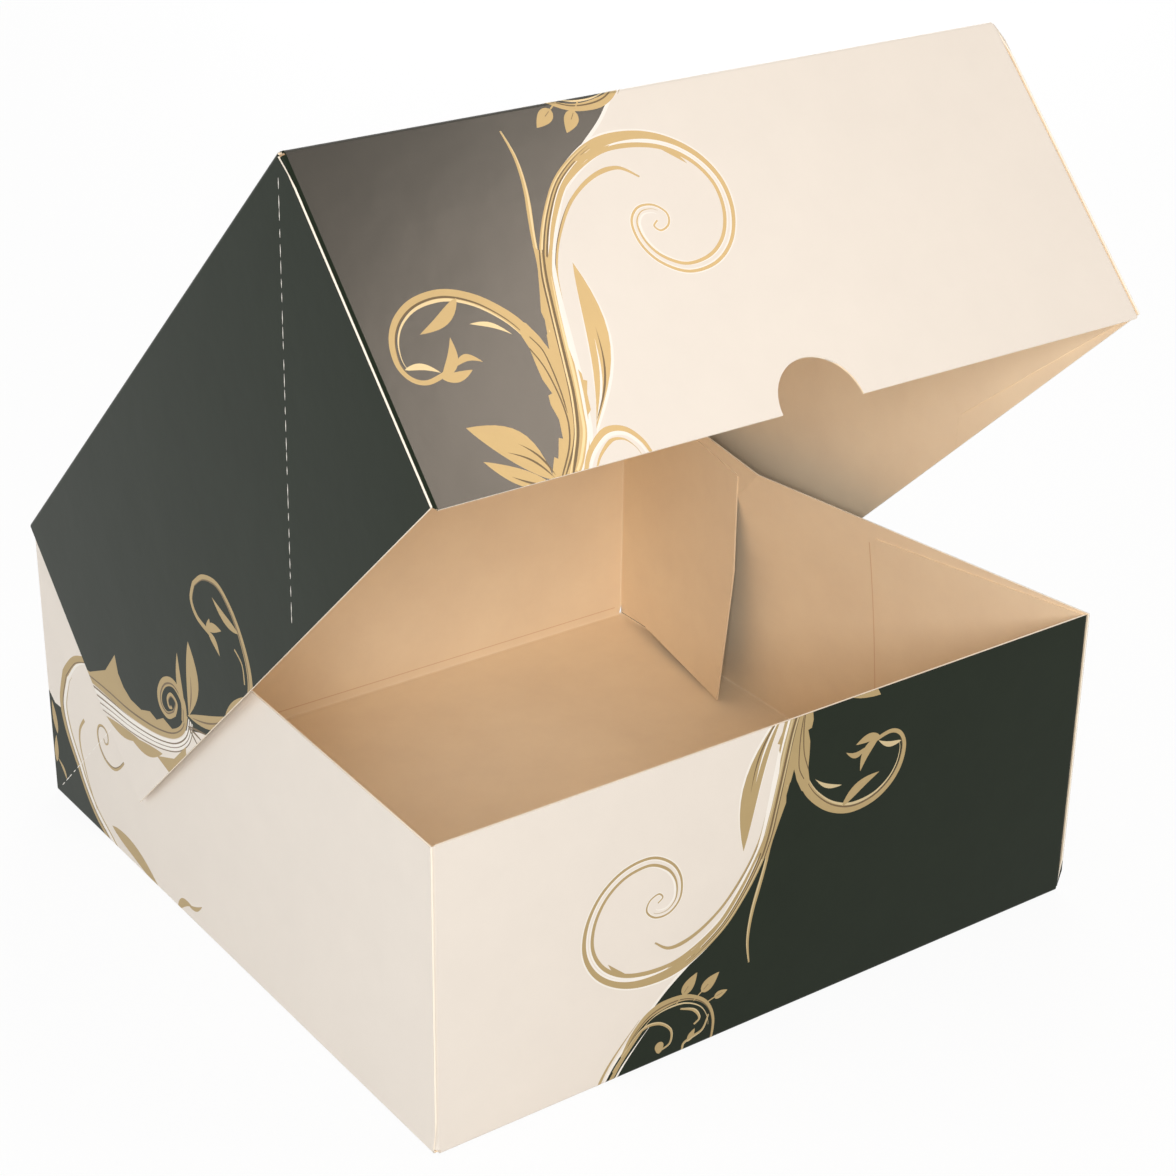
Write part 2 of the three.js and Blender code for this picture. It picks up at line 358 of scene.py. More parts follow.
def by_share(*pairs):
    """A width or shift that runs in straight steps between (share, value) pairs."""
    def value(share):
        for (a, low), (b, high) in zip(pairs, pairs[1:]):
            if share <= b:
                return low + (high - low) * (share - a) / (b - a)
        return pairs[-1][1]
    return value


def leaf(base, tip, bulge, lean=0.0, fullness=0.8, steps=12):
    """A pointed leaf: bulge is its half width and lean bends it to its left.

    Fullness above one widens its tip.
    """
    base = Vector(base)
    tip = Vector(tip)
    along = tip - base
    across = Vector((-along.y, along.x)).normalized()
    spine = []
    for k in range(steps + 1):
        t = k / steps
        spine.append(base + along * t + across * lean * math.sin(math.pi * t))
    widths = [bulge * math.sin(math.pi * (k / steps) ** fullness) ** 0.9 for k in range(steps + 1)]
    left = [spine[k] + across * widths[k] for k in range(steps + 1)]
    right = [spine[k] - across * widths[k] for k in range(steps + 1)]
    return [left + right[-2:0:-1]]


def berry(centre, radius, angle, steps=18):
    """A round bud with a pointed end."""
    out = []
    for k in range(steps):
        t = 2 * math.pi * k / steps
        reach = radius * (1 + 0.55 * max(0, math.cos(t)) ** 6)
        turned = t + math.radians(angle)
        out.append(Vector((centre[0] + reach * math.cos(turned), centre[1] + reach * math.sin(turned))))
    return [out]


def box_outline(x0, y0, x1, y1):
    return [Vector((x0, y0)), Vector((x1, y0)), Vector((x1, y1)), Vector((x0, y1))]


# The ornament, drawn once on the lid front's coordinates: x from the middle, y up from the lower edge

# The stem from its foot, its arch over to the right, and the scroll at the arch's end
STEM = [(-83, -6), (-80.5, 0.4), (-75.2, 10.2), (-71.8, 21), (-68.6, 32.6), (-65, 45), (-60, 58),
        (-53.6, 69)]
ARCH = [(-45.5, 78), (-32.5, 85), (-20.5, 86), (-10.4, 83.2), (-2.5, 77), (1.6, 68.4), (0.9, 59),
        (-3.8, 50.7)]
SCROLL = [(-11.5, 45.6), (-20.8, 44.8), (-28, 48.9), (-31.6, 54.9), (-31.6, 61.5), (-28, 65.3), (-23, 65.3)]
SCROLL_END = [(-19.8, 62.3), (-20.6, 59.1), (-23.7, 57.7), (-25.3, 59.3), (-23.6, 60.7)]

# The two leafy shapes at the foot of the stem, each closed by the stem's right edge
FROND_EDGE = [(-77, 34.4), (-77.2, 29.7), (-77.2, 25.5), (-76.2, 21.4), (-77.5, 21.1), (-78, 18.6),
              (-77.5, 14.3)]
FROND_FOOT = [(-78.7, 9.2), (-79.8, 9.7), (-81.2, 6.8), (-82.4, 4.5), (-83.3, 5.2), (-85.9, 1), (-88, -5),
              (-81, -5)]
RISER_RIGHT = [(-78.3, 0), (-75.6, 3.1), (-71.8, 9.2), (-69.9, 15.3), (-67.6, 24.2), (-65.8, 33.3),
               (-63.9, 42.5), (-61.6, 51.7)]
RISER_TOP = [(-58.4, 60.5), (-60.6, 57), (-63.4, 61.2), (-63.8, 58.4), (-65, 54.3), (-67.2, 48.5),
             (-69.3, 43.2), (-69.2, 37.4), (-70.6, 36.8)]
CURL_JOIN = [(-71.7, 32.7), (-72.8, 36.8), (-74.9, 41.1), (-76.4, 42.1), (-77.8, 38.6)]
TOOTHED_EDGE = [(-66, 32.6), (-66.4, 26.8), (-65.6, 24.7), (-65.9, 22.9), (-64.9, 22.4), (-66.5, 19.2),
                (-67.5, 14.7)]
TOOTHED_FOOT = [(-68.9, 13.6), (-72.3, 5.5), (-74.8, 1), (-78, -5), (-83, -5)]

# The fine dark lines on the stem, and the leafy shape on the lid's side
RISER_LINES = [
    [(-61, 59.4), (-63.3, 52.5), (-65.2, 44.2), (-67.2, 34.6), (-68.7, 27.3), (-70.5, 19.2),
     (-73.5, 10.5), (-77, 4.4), (-82, -3)],
    [(-62, 59.6), (-64.6, 52.3), (-66.3, 44.5), (-68.2, 34.8), (-69.8, 26.6), (-71.5, 19.4), (-73.8, 12),
     (-77.3, 5.8), (-84, -2)],
    [(-75.6, 37.4), (-73.6, 33.2), (-73.3, 27.4), (-73.6, 21.3), (-74.4, 15.4)],
    [(-77, 34.4), (-75.2, 28.8), (-74.6, 22.5), (-74.7, 16.9), (-75.6, 11.9), (-78.4, 6.1), (-85, -2)],
]
SIDE_FROND = [(-4, 52), (4.1, 54.4), (14.7, 57.8), (26.4, 56.8), (23.4, 62.2), (23.4, 67), (25.2, 71.8),
              (30, 77), (36, 79.6), (38.6, 83.4), (43.8, 84.6), (47.6, 90), (40, 88), (20, 76), (4, 60)]

# The edge of the dark field above the stem, the curl to its left and the ring at the top
FIELD_EDGE = [(-36, 85.5), (-27, 92), (-19.3, 99.5), (-13, 106), (-8, 112), (-5, 118), (-3, 130)]
CURL = [(-76.5, 8), (-73.6, 20), (-72.8, 31), (-76.2, 39.3), (-80.2, 45.1), (-86.6, 50.6), (-94.4, 53.7),
        (-102.8, 53.2)]
CURL_END = [(-109.2, 49.8), (-113.1, 44.6), (-114.3, 38.3), (-112.4, 33.8), (-108.3, 31.9), (-102.2, 33.2)]
RING = [(-12, 109), (-16, 102.8), (-21.5, 98.2), (-28, 96.6), (-35.5, 97.4), (-42.3, 101.8), (-45.4, 109),
        (-44.5, 118)]


# Steps along the stem's path: those that bound the dark field, its broad part and its winding part
FIELD_STEPS = 68
BROAD_STEPS = 72
WINDING_STEPS = (62, 180)


def ornament(turn=0.0, shift=(0.0, 0.0)):
    """Layers of ink, lowest first, each an ink and its outlines."""
    stem = spline(STEM + ARCH + SCROLL + SCROLL_END, 8)
    edge = spline(FIELD_EDGE, 6)
    dark_field = [Vector((-400, -40)), Vector((-84, -40))] + stem[:FIELD_STEPS] + edge + [Vector((-400, 130))]
    layers = [(DARK_INK, [dark_field]), (WHITE_INK, ribbon(edge, 1.0))]
    layers += curl_layers()
    layers += stem_layers(stem)
    layers += riser_layers()
    layers += foot_layers()
    layers += crown_layers()
    return [(ink, [placed(outline, turn, shift) for outline in shapes]) for ink, shapes in layers]


def stem_layers(stem):
    """The broad striped stem, its arch and its winding end."""
    riser = stem[:BROAD_STEPS]
    winding = stem[slice(*WINDING_STEPS)]
    full = by_share((0, 5.2), (0.12, 5.6), (0.24, 5.6), (0.36, 4.4), (0.44, 4.0), (0.56, 2.0), (0.7, 1.1),
                    (1, 0.5))
    rim = by_share((0, 0), (0.41, 0), (0.47, 1.1), (1, 0.4))
    right = by_share((0, -0.05), (0.24, -0.1), (0.36, -0.4), (1, -0.5))
    layers = [
        (WHITE_INK, ribbon(stem, lambda s: full(s) + rim(s))),
        (GOLD_INK, ribbon(stem, lambda s: (0.5 - right(s)) * full(s),
                          lambda s: (0.5 + right(s)) / 2 * full(s))),
    ]
    whole = by_share((0, 5.2), (0.3, 5.6), (0.6, 5.6), (0.9, 4.4), (1, 4.2))
    fine = by_share((0, 0.08), (0.6, 0.09), (0.9, 0.06), (1, 0.0))
    for ink, place, size in ((BROWN_INK, 0.24, 1), (LIGHT_INK, 0.33, 1), (BROWN_INK, 0.06, 1.1),
                             (WHITE_INK, -0.03, 0.7)):
        layers.append((ink, ribbon(riser, lambda s, k=size: k * whole(s) * fine(s) + 0.05,
                                   lambda s, k=place: k * whole(s))))
    inner = by_share((0, 0.2), (0.2, 1.5), (0.5, 1.1), (0.8, 0.9), (1, 0.1))
    layers.append((WHITE_INK, ribbon(winding, by_share((0, 0.1), (0.2, 1.6), (0.8, 1.2), (1, 0.2)), -2.4)))
    inset = by_share((0, -1.6), (0.25, -3.0), (0.7, -2.5), (1, -1.2))
    layers.append((GOLD_INK, ribbon(winding, inner, inset)))
    echo = spline([(-64.6, 32), (-63.4, 38), (-61.9, 45), (-59.4, 53.5), (-54.5, 62), (-46.5, 71),
                   (-37, 76.5), (-28.5, 77.6), (-23, 73.8)], 7)
    layers.append((BROWN_INK, ribbon(echo, by_share((0, 0.2), (0.5, 0.9), (1, 0.3)), 0.15)))
    layers.append((GOLD_INK, ribbon(echo, by_share((0, 0.2), (0.5, 0.7), (0.85, 1.4), (1, 0.5)))))
    layers.append((GOLD_INK, leaf((-41, 82), (-27.5, 84.4), 0.9, -0.4)))
    layers.append((GOLD_INK, leaf((-14, 82), (-6.5, 74.8), 0.8, 0.6)))
    twig = spline([(-67, 36), (-65.5, 48), (-62.5, 62), (-58.5, 76), (-57.2, 86), (-58.2, 94)], 8)
    layers.append((GOLD_INK, ribbon(twig, by_share((0, 0.4), (0.6, 1.5), (0.9, 0.9), (1, 0.3)))))
    layers.append((LIGHT_INK, ribbon(twig, by_share((0, 0.1), (0.6, 0.6), (1, 0.1)), -0.3)))
    return layers


def riser_layers():
    """The leafy lower half of the stem, with its toothed edges and fine lines."""
    frond = FROND_EDGE + FROND_FOOT + RISER_RIGHT + RISER_TOP + CURL_JOIN
    toothed = TOOTHED_EDGE + TOOTHED_FOOT + RISER_RIGHT[:6]
    layers = [
        (WHITE_INK, ribbon(spline(RISER_RIGHT + [(-59.1, 59)], 6),
                           by_share((0, 2.4), (0.6, 2.0), (1, 0.3)), -0.9)),
        (GOLD_INK, [[Vector(point) for point in toothed]]),
        (GOLD_INK, [[Vector(point) for point in frond]]),
        (LIGHT_INK, ribbon(spline(RISER_RIGHT, 6), by_share((0, 0.7), (0.6, 0.8), (1, 0.2)), 0.4)),
        (WHITE_INK, ribbon(spline(RISER_RIGHT, 6), by_share((0, 0.5), (0.4, 0.9), (0.8, 0.1), (1, 0.1)),
                           -0.8)),
    ]
    for line, width in zip(RISER_LINES, (0.8, 0.6, 0.4, 0.45)):
        along = by_share((0, 0.8 * width), (0.5, width), (0.9, width), (1, 0.1))
        layers.append((BROWN_INK, ribbon(spline(line, 5), along)))
    along = by_share((0, 0.1), (0.5, 0.5), (1, 0.3))
    layers.append((LIGHT_INK, ribbon(spline(RISER_LINES[0], 5), along, -0.75)))
    return layers


def curl_layers():
    """The curl on the dark field, with the small leaves in it."""
    path = spline(CURL + CURL_END, 8)
    inner = path[22:86]
    return [
        (GOLD_INK, ribbon(path, by_share((0, 0.3), (0.16, 2.6), (0.35, 3.4), (0.62, 2.4), (0.87, 1.3),
                                         (1, 1.4)))),
        (BROWN_INK, ribbon(inner, by_share((0, 0.2), (0.5, 0.7), (1, 0.1)), 0.9)),
        (LIGHT_INK, ribbon(inner, by_share((0, 0.1), (0.5, 1.0), (1, 0.1)), 1.7)),
        (GOLD_INK, leaf((-91, 51.8), (-105, 44.5), 1.7, 1.4, 0.8)),
        (LIGHT_INK, leaf((-80.0, 39.0), (-90.5, 44.3), 0.7, -1.2, 1.2)),
        (LIGHT_INK, leaf((-113, 36.5), (-103.8, 33.6), 0.9, 1.2)),
        (GOLD_INK, leaf((-104, 31.8), (-97.3, 42.0), 1.6, -1.6)),
        (GOLD_INK, leaf((-99.3, 34.4), (-91.3, 33.8), 1.0, 1.8)),
        (GOLD_INK, leaf((-104, 31.8), (-95.0, 32.4), 1.4, -0.6)),
    ]


def foot_layers():
    """The leaves on both sides of the stem's foot, and the hook that starts there."""
    hook = spline([(-76.5, -3), (-75.8, 0.3), (-72.1, 4.8), (-66.1, 8.4), (-60.5, 7.6), (-56.9, 3.5),
                   (-55.6, -1.5)], 8)
    return [
        (WHITE_INK, leaf((-68.8, 8), (-54, 54.6), 3.7, -4.6, 1.2)),
        (GOLD_INK, leaf((-68.3, 9.5), (-54.1, 54.4), 3.2, -4.4, 1.25)),
        (WHITE_INK, leaf((-67.5, 11), (-57.5, 33), 0.35, -1.6)),
        (BROWN_INK, leaf((-67.3, 11.5), (-55.8, 36), 0.3, -2.6)),
        (GOLD_INK, leaf((-86, -0.5), (-103.5, 18.2), 4.4, -2.8, 0.95)),
        (BROWN_INK, leaf((-85.5, 0), (-95.5, 9.5), 0.3, -1.4)),
        (BROWN_INK, leaf((-85, 0.5), (-91.5, 11), 0.3, -1.2)),
        (GOLD_INK, leaf((-87, -2), (-102.8, 8.7), 2.3, 0.6)),
        (BROWN_INK, leaf((-88, -1.6), (-97, 3.2), 0.3, 0.4)),
        (WHITE_INK, ribbon(hook, by_share((0, 0.4), (0.5, 1.7), (1, 0.4)), -1.2)),
        (GOLD_INK, ribbon(hook, by_share((0, 1), (0.5, 1.8), (1, 0.9)))),
        (GOLD_INK, ribbon(hook[6:], by_share((0, 0.3), (0.4, 1.1), (0.8, 0.2), (1, 0.1)), -2.9)),
    ]


def crown_layers():
    """The ring at the top of the dark field, with three curls in it and three buds outside."""
    ring = spline(RING, 8)
    first = spline([(-9, 113), (-12, 109.5), (-18.8, 102.6), (-24.9, 102.4), (-29.6, 106.4), (-29.5, 111),
                    (-26, 112.3)], 8)
    second = spline([(-33, 100.6), (-38, 102.8), (-40.2, 106.4), (-38.2, 108)], 8)
    third = spline([(-43.5, 106.5), (-41.5, 111), (-37.6, 112.3), (-34.4, 113.6), (-34.2, 118)], 8)
    rim = spline(FIELD_EDGE[2:], 8)
    layers = [
        (GOLD_INK, ribbon(ring, by_share((0, 1.0), (0.35, 3.0), (0.6, 1.6), (1, 0.6)))),
        (BROWN_INK, ribbon(ring, by_share((0, 0.2), (0.35, 0.5), (1, 0.1)), -0.5)),
        (LIGHT_INK, ribbon(ring[10:50], by_share((0, 0.1), (0.4, 0.6), (1, 0.1)), -1.9)),
        (GOLD_INK, ribbon(rim, by_share((0, 0.2), (0.5, 1.4), (1, 1.6)), 2.2)),
        (WHITE_INK, ribbon(rim, by_share((0, 0.1), (0.5, 0.8), (1, 1.0)), 3.7)),
        (GOLD_INK, ribbon(rim, by_share((0, 0.1), (0.6, 1.1), (1, 1.6)), -1.6)),
        (GOLD_INK, berry((-25.6, 110.8), 1.6, 90)),
        (GOLD_INK, leaf((-36, 113.4), (-38.6, 109.6), 1.1)),
    ]
    for line in (first, second, third):
        layers.append((GOLD_INK, ribbon(line, by_share((0, 0.4), (0.5, 1.1), (1, 0.6)))))
        layers.append((LIGHT_INK, ribbon(line, by_share((0, 0.1), (0.5, 0.4), (1, 0.1)), 0.3)))
    for base, tip, bulge in (((-33.6, 96.0), (-38.8, 90.0), 2.1), ((-40.5, 97.6), (-47.0, 93.0), 2.1),
                             ((-45.4, 101.4), (-50.4, 100.6), 1.3)):
        inward = (Vector(base) - Vector(tip)).normalized()
        foot = Vector(base) + inward * 2.6 + Vector((0.6, 0.4))
        layers.append((GOLD_INK, leaf(base, tip, bulge, 0, 0.7)))
        layers.append((GOLD_INK, ribbon([Vector(base), (Vector(base) + foot) / 2, foot], 0.45)))
        layers.append((BROWN_INK, ribbon([Vector(base) - inward * 1.0, Vector(base) - inward * 3.2], 0.18)))
    return layers


def placed(outline, turn, shift):
    """An outline turned about the origin, in degrees, and then shifted."""
    angle = math.radians(turn)
    cos, sin = math.cos(angle), math.sin(angle)
    return [Vector((p.x * cos - p.y * sin + shift[0], p.x * sin + p.y * cos + shift[1])) for p in outline]


def dashes(start, end, dash=3.0, pitch=4.4, width=0.38, tip=0.12):
    """The perforated crease: short cuts that show the white of the board."""
    start = Vector(start)
    along = Vector(end) - start
    count = int(along.length / pitch)
    step = along.normalized()
    out = []
    for k in range(count):
        wobble = 0.35 * math.sin(k * 2.4)
        a = start + step * (k * pitch + wobble)
        b = a + step * (dash + 0.8 * math.sin(k * 1.7))
        out.append((WHITE_INK, ribbon([a, (a + b) / 2, b], lambda s: width if 0 < s < 1 else tip)))
    return out


def side_scroll():
    """The ornament on the lid's sides: x from the hinge, y down from the top."""
    edge = spline([(-4, 51), (4, 58), (11.5, 65), (20, 73.3), (29.5, 81), (38.5, 87), (47, 91), (55, 92),
                   (61, 89.5)], 8)
    pale_edge = spline([(-6, 50), (4, 59), (11.5, 66), (20, 74.3), (29.5, 82), (38.5, 88), (47, 92),
                        (56, 93), (72, 100)], 8)
    pale = [Vector((-10, 120))] + pale_edge + [Vector((74, 120))]
    curl = spline([(102, 103), (109.5, 99.6), (114.6, 93.4), (117.6, 84.1), (118, 75.6), (115.8, 68),
                   (109, 63), (101.5, 62)], 8)
    curl += spline([(101.5, 62), (96, 64.8), (95.2, 70.2), (99, 76.8)], 8)[1:]
    eye = spline([(57.5, 91), (62.4, 86), (61, 79.4), (55.2, 76.6), (49, 77.6), (46.2, 81), (48, 85),
                  (53.3, 86.4)], 8)
    eye += spline([(53.3, 86.4), (57.4, 84.6), (56.2, 81.2), (52.6, 81.2), (51.4, 83.5), (53.3, 84.5)],
                  8)[1:]
    layers = [
        (CREAM_INK, [pale]),
        (GOLD_INK, [[Vector(point) for point in SIDE_FROND]]),
        (BROWN_INK, leaf((22, 74.5), (8, 59.5), 0.4, -0.4)),
        (GOLD_INK, ribbon(edge, by_share((0, 3.2), (0.3, 4.6), (0.7, 3.6), (1, 2.4)))),
        (BROWN_INK, ribbon(edge, by_share((0, 0.5), (0.5, 0.7), (1, 0.4)), -0.2)),
        (BROWN_INK, ribbon(edge, by_share((0, 0.7), (0.5, 0.5), (1, 0.4)), 2.6)),
    ]
    for shift, white_width, shade in ((4.0, 1.5, 0.5), (6.2, 1.2, 0.4), (8.2, 1.1, 0.35)):
        white_line = by_share((0, 0.6), (0.4, white_width), (1, 0.6))
        layers.append((WHITE_INK, ribbon(edge, white_line, by_share((0, shift), (1, shift * 0.5)))))
        below = by_share((0, shift + 1.0), (1, shift * 0.5 + 0.6))
        layers.append((BROWN_INK, ribbon(edge[6:], shade, below)))
    layers += [
        (GOLD_INK, leaf((20, 84), (1, 69), 1.9, -1.4, 1.0)),
        (GOLD_INK, leaf((33, 93), (13, 80), 2.2, -1.6, 1.0)),
        (GOLD_INK, [[Vector(point) for point in ((28, 92), (34, 102), (44, 104), (52, 97), (40, 97))]]),
        (GOLD_INK, ribbon(eye, by_share((0, 3.2), (0.5, 3.0), (0.8, 1.6), (1, 0.8)))),
        (BROWN_INK, ribbon(eye, by_share((0, 0.5), (0.5, 0.7), (1, 0.3)), -0.6)),
        (GOLD_INK, leaf((60.5, 89), (72, 73), 1.7, -1.2)),
        (GOLD_INK, leaf((62.7, 90.5), (82.5, 73.3), 3.8, 2.6, 1.1)),
        (BROWN_INK, leaf((64, 90), (75, 81.5), 0.35, 0.8)),
        (GOLD_INK, leaf((62, 90), (92, 101), 2.2, 2.2, 0.9)),
        (GOLD_INK, leaf((84, 101), (104, 99), 2.6, 0.2, 0.9)),
        (BROWN_INK, leaf((64, 91.5), (88, 100.5), 0.3, 1.6)),
        (GOLD_INK, ribbon(curl, by_share((0, 3.2), (0.45, 2.2), (0.75, 1.6), (1, 1.8)))),
        (BROWN_INK, ribbon(curl[:70], by_share((0, 0.2), (0.4, 0.7), (1, 0.1)), -0.7)),
        (GOLD_INK, leaf((98, 75), (107, 79.3), 1.5, -0.6)),
        (GOLD_INK, leaf((98.5, 76), (99.6, 84.5), 1.4, -0.8)),
        (GOLD_INK, leaf((98, 75.5), (102.6, 73.6), 1.0, 0.2)),
        (GOLD_INK, leaf((116.8, 84), (109.8, 69.6), 1.5, -1.2)),
        (GOLD_INK, ribbon(spline([(110.6, 86.4), (111.4, 91.6), (108, 96.6)], 8), 0.7)),
    ]
    for tip in ((61, 101), (66, 101), (71, 100)):
        layers.append((BROWN_INK, leaf((59.3, 92.6), tip, 0.4)))
    return layers


def base_side_scroll():
    """The ornament on the base's left wall: x from the front, y up from the bottom."""
    edge = spline([(190, -6), (199.3, -0.5), (210, 5.1), (218.6, 12.8), (225, 21.7), (229.4, 30.4),
                   (230.8, 39.6), (226.8, 51.1)], 8)
    edge += spline([(226.8, 51.1), (218.5, 59.5), (207.2, 63.2), (203.5, 59.5)], 8)[1:]
    patch = [Vector((190, -10))] + edge[:46] + [Vector((236, 36)), Vector((250, 48)), Vector((250, -10))]
    echo = spline([(215.4, 38.5), (219.2, 33), (219.6, 26), (215.9, 17.1), (209, 7.5)], 8)
    outer_turn = [(185.4, 42.3), (187.3, 35.7), (193.9, 30), (200.4, 29.8), (205.2, 33), (206.4, 37.4)]
    inner_turn = [(205, 41), (201.8, 42), (199.2, 40.2), (199, 37.2), (201, 36), (202.4, 37.4)]
    eye = spline(outer_turn + inner_turn, 8)
    return [
        (DARK_INK, [patch]),
        (WHITE_INK, ribbon(edge, by_share((0, 4.4), (0.5, 4.0), (1, 0.6)),
                           by_share((0, 1.8), (0.8, 1.6), (1, 0.2)))),
        (GOLD_INK, ribbon(edge, by_share((0, 1.6), (0.4, 1.5), (0.75, 3.4), (1, 1.6)))),
        (BROWN_INK, ribbon(edge, by_share((0, 0.5), (0.6, 0.6), (1, 0.2)), 1.0)),
        (GOLD_INK, ribbon(edge[:60], by_share((0, 0.7), (0.7, 0.8), (1, 0.1)), 3.4)),
        (GOLD_INK, ribbon(echo, by_share((0, 1.3), (0.4, 0.9), (1, 0.3)))),
        (GOLD_INK, ribbon(eye, by_share((0, 0.5), (0.3, 1.3), (1, 0.5)))),
        (BROWN_INK, ribbon(eye, by_share((0, 0.1), (0.3, 0.35), (1, 0.1)), 0.4)),
        (GOLD_INK, leaf((198, 7), (162, -1.5), 2.6, -2.0)),
        (GOLD_INK, leaf((152, -0.5), (142, 5.5), 1.5, -1.6)),
        (GOLD_INK, leaf((144, 4.6), (135.0, 9.0), 0.8, 1.0)),
        (GOLD_INK, leaf((236.2, 24), (238.4, 36), 1.5)),
        (GOLD_INK, leaf((238.6, 12), (237.4, 23), 1.4)),
        (GOLD_INK, leaf((232, 8), (237.5, 14), 0.8, 0.8)),
    ]


def top_field():
    """The dark field on the lid's top, carried on from the lid front: x from the middle, y from the hinge."""
    edge = spline([(-18, 246), (-9, 238), (-4, 228), (-2, 214), (-8, 192), (-26, 150), (-50, 90),
                   (-66, 48), (-82, 18), (-96, -4)], 8)
    field = [Vector((-140, -10))] + edge[::-1] + [Vector((-18, 260)), Vector((-140, 260))]
    return [
        (DARK_INK, [field]),
        (GOLD_INK, ribbon(edge, by_share((0, 0.2), (0.1, 1.2), (0.6, 1.6), (0.9, 3.2), (1, 2.0)))),
        (WHITE_INK, ribbon(edge, by_share((0, 0.8), (0.6, 1.0), (1, 1.4)), 1.6)),
        (BROWN_INK, ribbon(edge[24:], 0.5, -0.3)),
    ]


def back_fields():
    """The back wall's fields: x runs from the box's right end to its left, y up from the bottom."""
    left = spline([(122, 41), (114, 30), (106, 20), (94, 10), (78, 3), (64, -6)], 8)
    right = spline([(-74, -6), (-80, 12), (-92, 34), (-98, 60), (-92, 84), (-84, 104)], 8)
    curl = spline([(-97, 52), (-88, 68), (-74, 74), (-61, 68), (-56, 56), (-62, 46), (-71, 47), (-72, 55),
                   (-67, 57)], 8)
    return [
        (DARK_INK, [[Vector((130, -10)), Vector((130, 44))] + left]),
        (DARK_INK, [[Vector((-130, -10))] + right + [Vector((-130, 110))]]),
        (WHITE_INK, ribbon(left, 1.2, -1.6)),
        (GOLD_INK, ribbon(left, by_share((0, 1.8), (0.5, 2.4), (1, 0.8)))),
        (WHITE_INK, ribbon(right, 1.4, -1.8)),
        (GOLD_INK, ribbon(right, by_share((0, 1.2), (0.5, 3.4), (1, 1.4)))),
        (BROWN_INK, ribbon(right, by_share((0, 0.3), (0.5, 0.6), (1, 0.2)), 0.3)),
        (GOLD_INK, ribbon(curl, by_share((0, 2.6), (0.5, 1.6), (1, 0.6)))),
        (GOLD_INK, leaf((-96, 44), (-80, 56), 2.6, -1.2)),
        (GOLD_INK, leaf((-95, 36), (-108, 52), 2.4, 1.6)),
        (GOLD_INK, leaf((-88, 24), (-104, 28), 2.0, 1.2)),
    ]


# Printed skins

def inside(shape, x, y):
    """Which of the points (x, y) lie within an outline."""
    hits = np.zeros(len(x), bool)
    for p, q in zip(shape, shape[1:] + shape[:1]):
        if p.y == q.y:
            continue
        crosses = (y < p.y) != (y < q.y)
        hits ^= crosses & (x < p.x + (q.x - p.x) * (y - p.y) / (q.y - p.y))
    return hits


def skin(name, body, outline, layers, place, lines=(), holes=(), ground=CREAM_INK):
    """A sheet on one panel, cut into fields of colour along the outlines of its layers."""
    points = []
    edges = []
    painted = [(ground, [outline])] + list(layers) + [(None, [hole]) for hole in holes]
    for ink, shapes in painted:
        for shape in shapes:
            first = len(points)
            points.extend(Vector((p.x, p.y)) for p in shape)
            edges.extend((first + k, first + (k + 1) % len(shape)) for k in range(len(shape)))
    for a, b in lines:
        edges.append((len(points), len(points) + 1))
        points.extend([Vector(a), Vector(b)])
    vertices, made_edges, triangles = delaunay_2d_cdt(points, edges, [], 0, 1e-4, False)[:3]
    flat = np.array([(p.x, p.y) for p in vertices])
    middle = flat[np.array([list(triangle) for triangle in triangles])].mean(axis=1)
    x, y = middle[:, 0], middle[:, 1]
    inks = np.full(len(triangles), -1)
    for ink, shapes in painted:
        for shape in shapes:
            low_x, high_x = min(p.x for p in shape), max(p.x for p in shape)
            low_y, high_y = min(p.y for p in shape), max(p.y for p in shape)
            near = np.nonzero((x > low_x) & (x < high_x) & (y > low_y) & (y < high_y))[0]
            within = near[inside(shape, x[near], y[near])]
            inks[within] = -1 if ink is None else ink
    within_outline = inside(outline, x, y)
    kept = [k for k in range(len(triangles)) if within_outline[k] and inks[k] >= 0]
    placed_vertices = [place(p.x, p.y) for p in vertices]
    obj = mesh_object(name, placed_vertices, [list(triangles[k]) for k in kept], INKS)
    for polygon, k in zip(obj.data.polygons, kept):
        polygon.material_index = int(inks[k])
    drop_loose(obj)
    face_sheet(obj, body, outwards=True)
    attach(obj, body)


def middle_of(body):
    if body == "base":
        return Vector((0, 0, HEIGHT / 2 * MM))
    return lid_point(0, LID_DEPTH / 2, LID_SIDE / 2)


def drop_loose(obj):
    """Takes out corners that no face uses."""
    work = bmesh.new()
    work.from_mesh(obj.data)
    bmesh.ops.delete(work, geom=[v for v in work.verts if not v.link_faces], context="VERTS")
    work.to_mesh(obj.data)
    work.free()


def face_sheet(obj, body, outwards):
    """Makes the sheet's faces look out of the box, or into it."""
    centre = middle_of(body)
    mesh = obj.data
    facing = sum((p.center - centre).dot(p.normal) * p.area for p in mesh.polygons)
    if (facing > 0) != outwards:
        mesh.flip_normals()


FOLD_STEPS = 6
WALL_CELL_LONG = 20
WALL_CELL_HIGH = 10


def fold_lines(low, high, flip=None):
    """Lines along which the sheet bends round a fold, at the panel's lower or upper edge."""
    values = [FOLD - FOLD * math.pi / 2 * k / FOLD_STEPS for k in range(FOLD_STEPS + 1)]
    if flip is not None:
        values = [flip - value for value in values]
    return [((low, value), (high, value)) for value in values]


def wall_lines():
    """The slanted crease and a grid, along which a side wall's sheet follows the wall's lean."""
    lines = fold_lines(-2, DEPTH + 2)
    lines.append(((DEPTH, 0), (DEPTH - HEIGHT, HEIGHT)))
    for x in range(WALL_CELL_LONG, int(DEPTH), WALL_CELL_LONG):
        lines.append(((x, -2), (x, HEIGHT + 1)))
    for y in range(WALL_CELL_HIGH, int(HEIGHT), WALL_CELL_HIGH):
        lines.append(((-2, y), (DEPTH + 2, y)))
    return lines


# Where a panel's print ends, right round the fold
WRAP = FOLD - FOLD * math.pi / 2


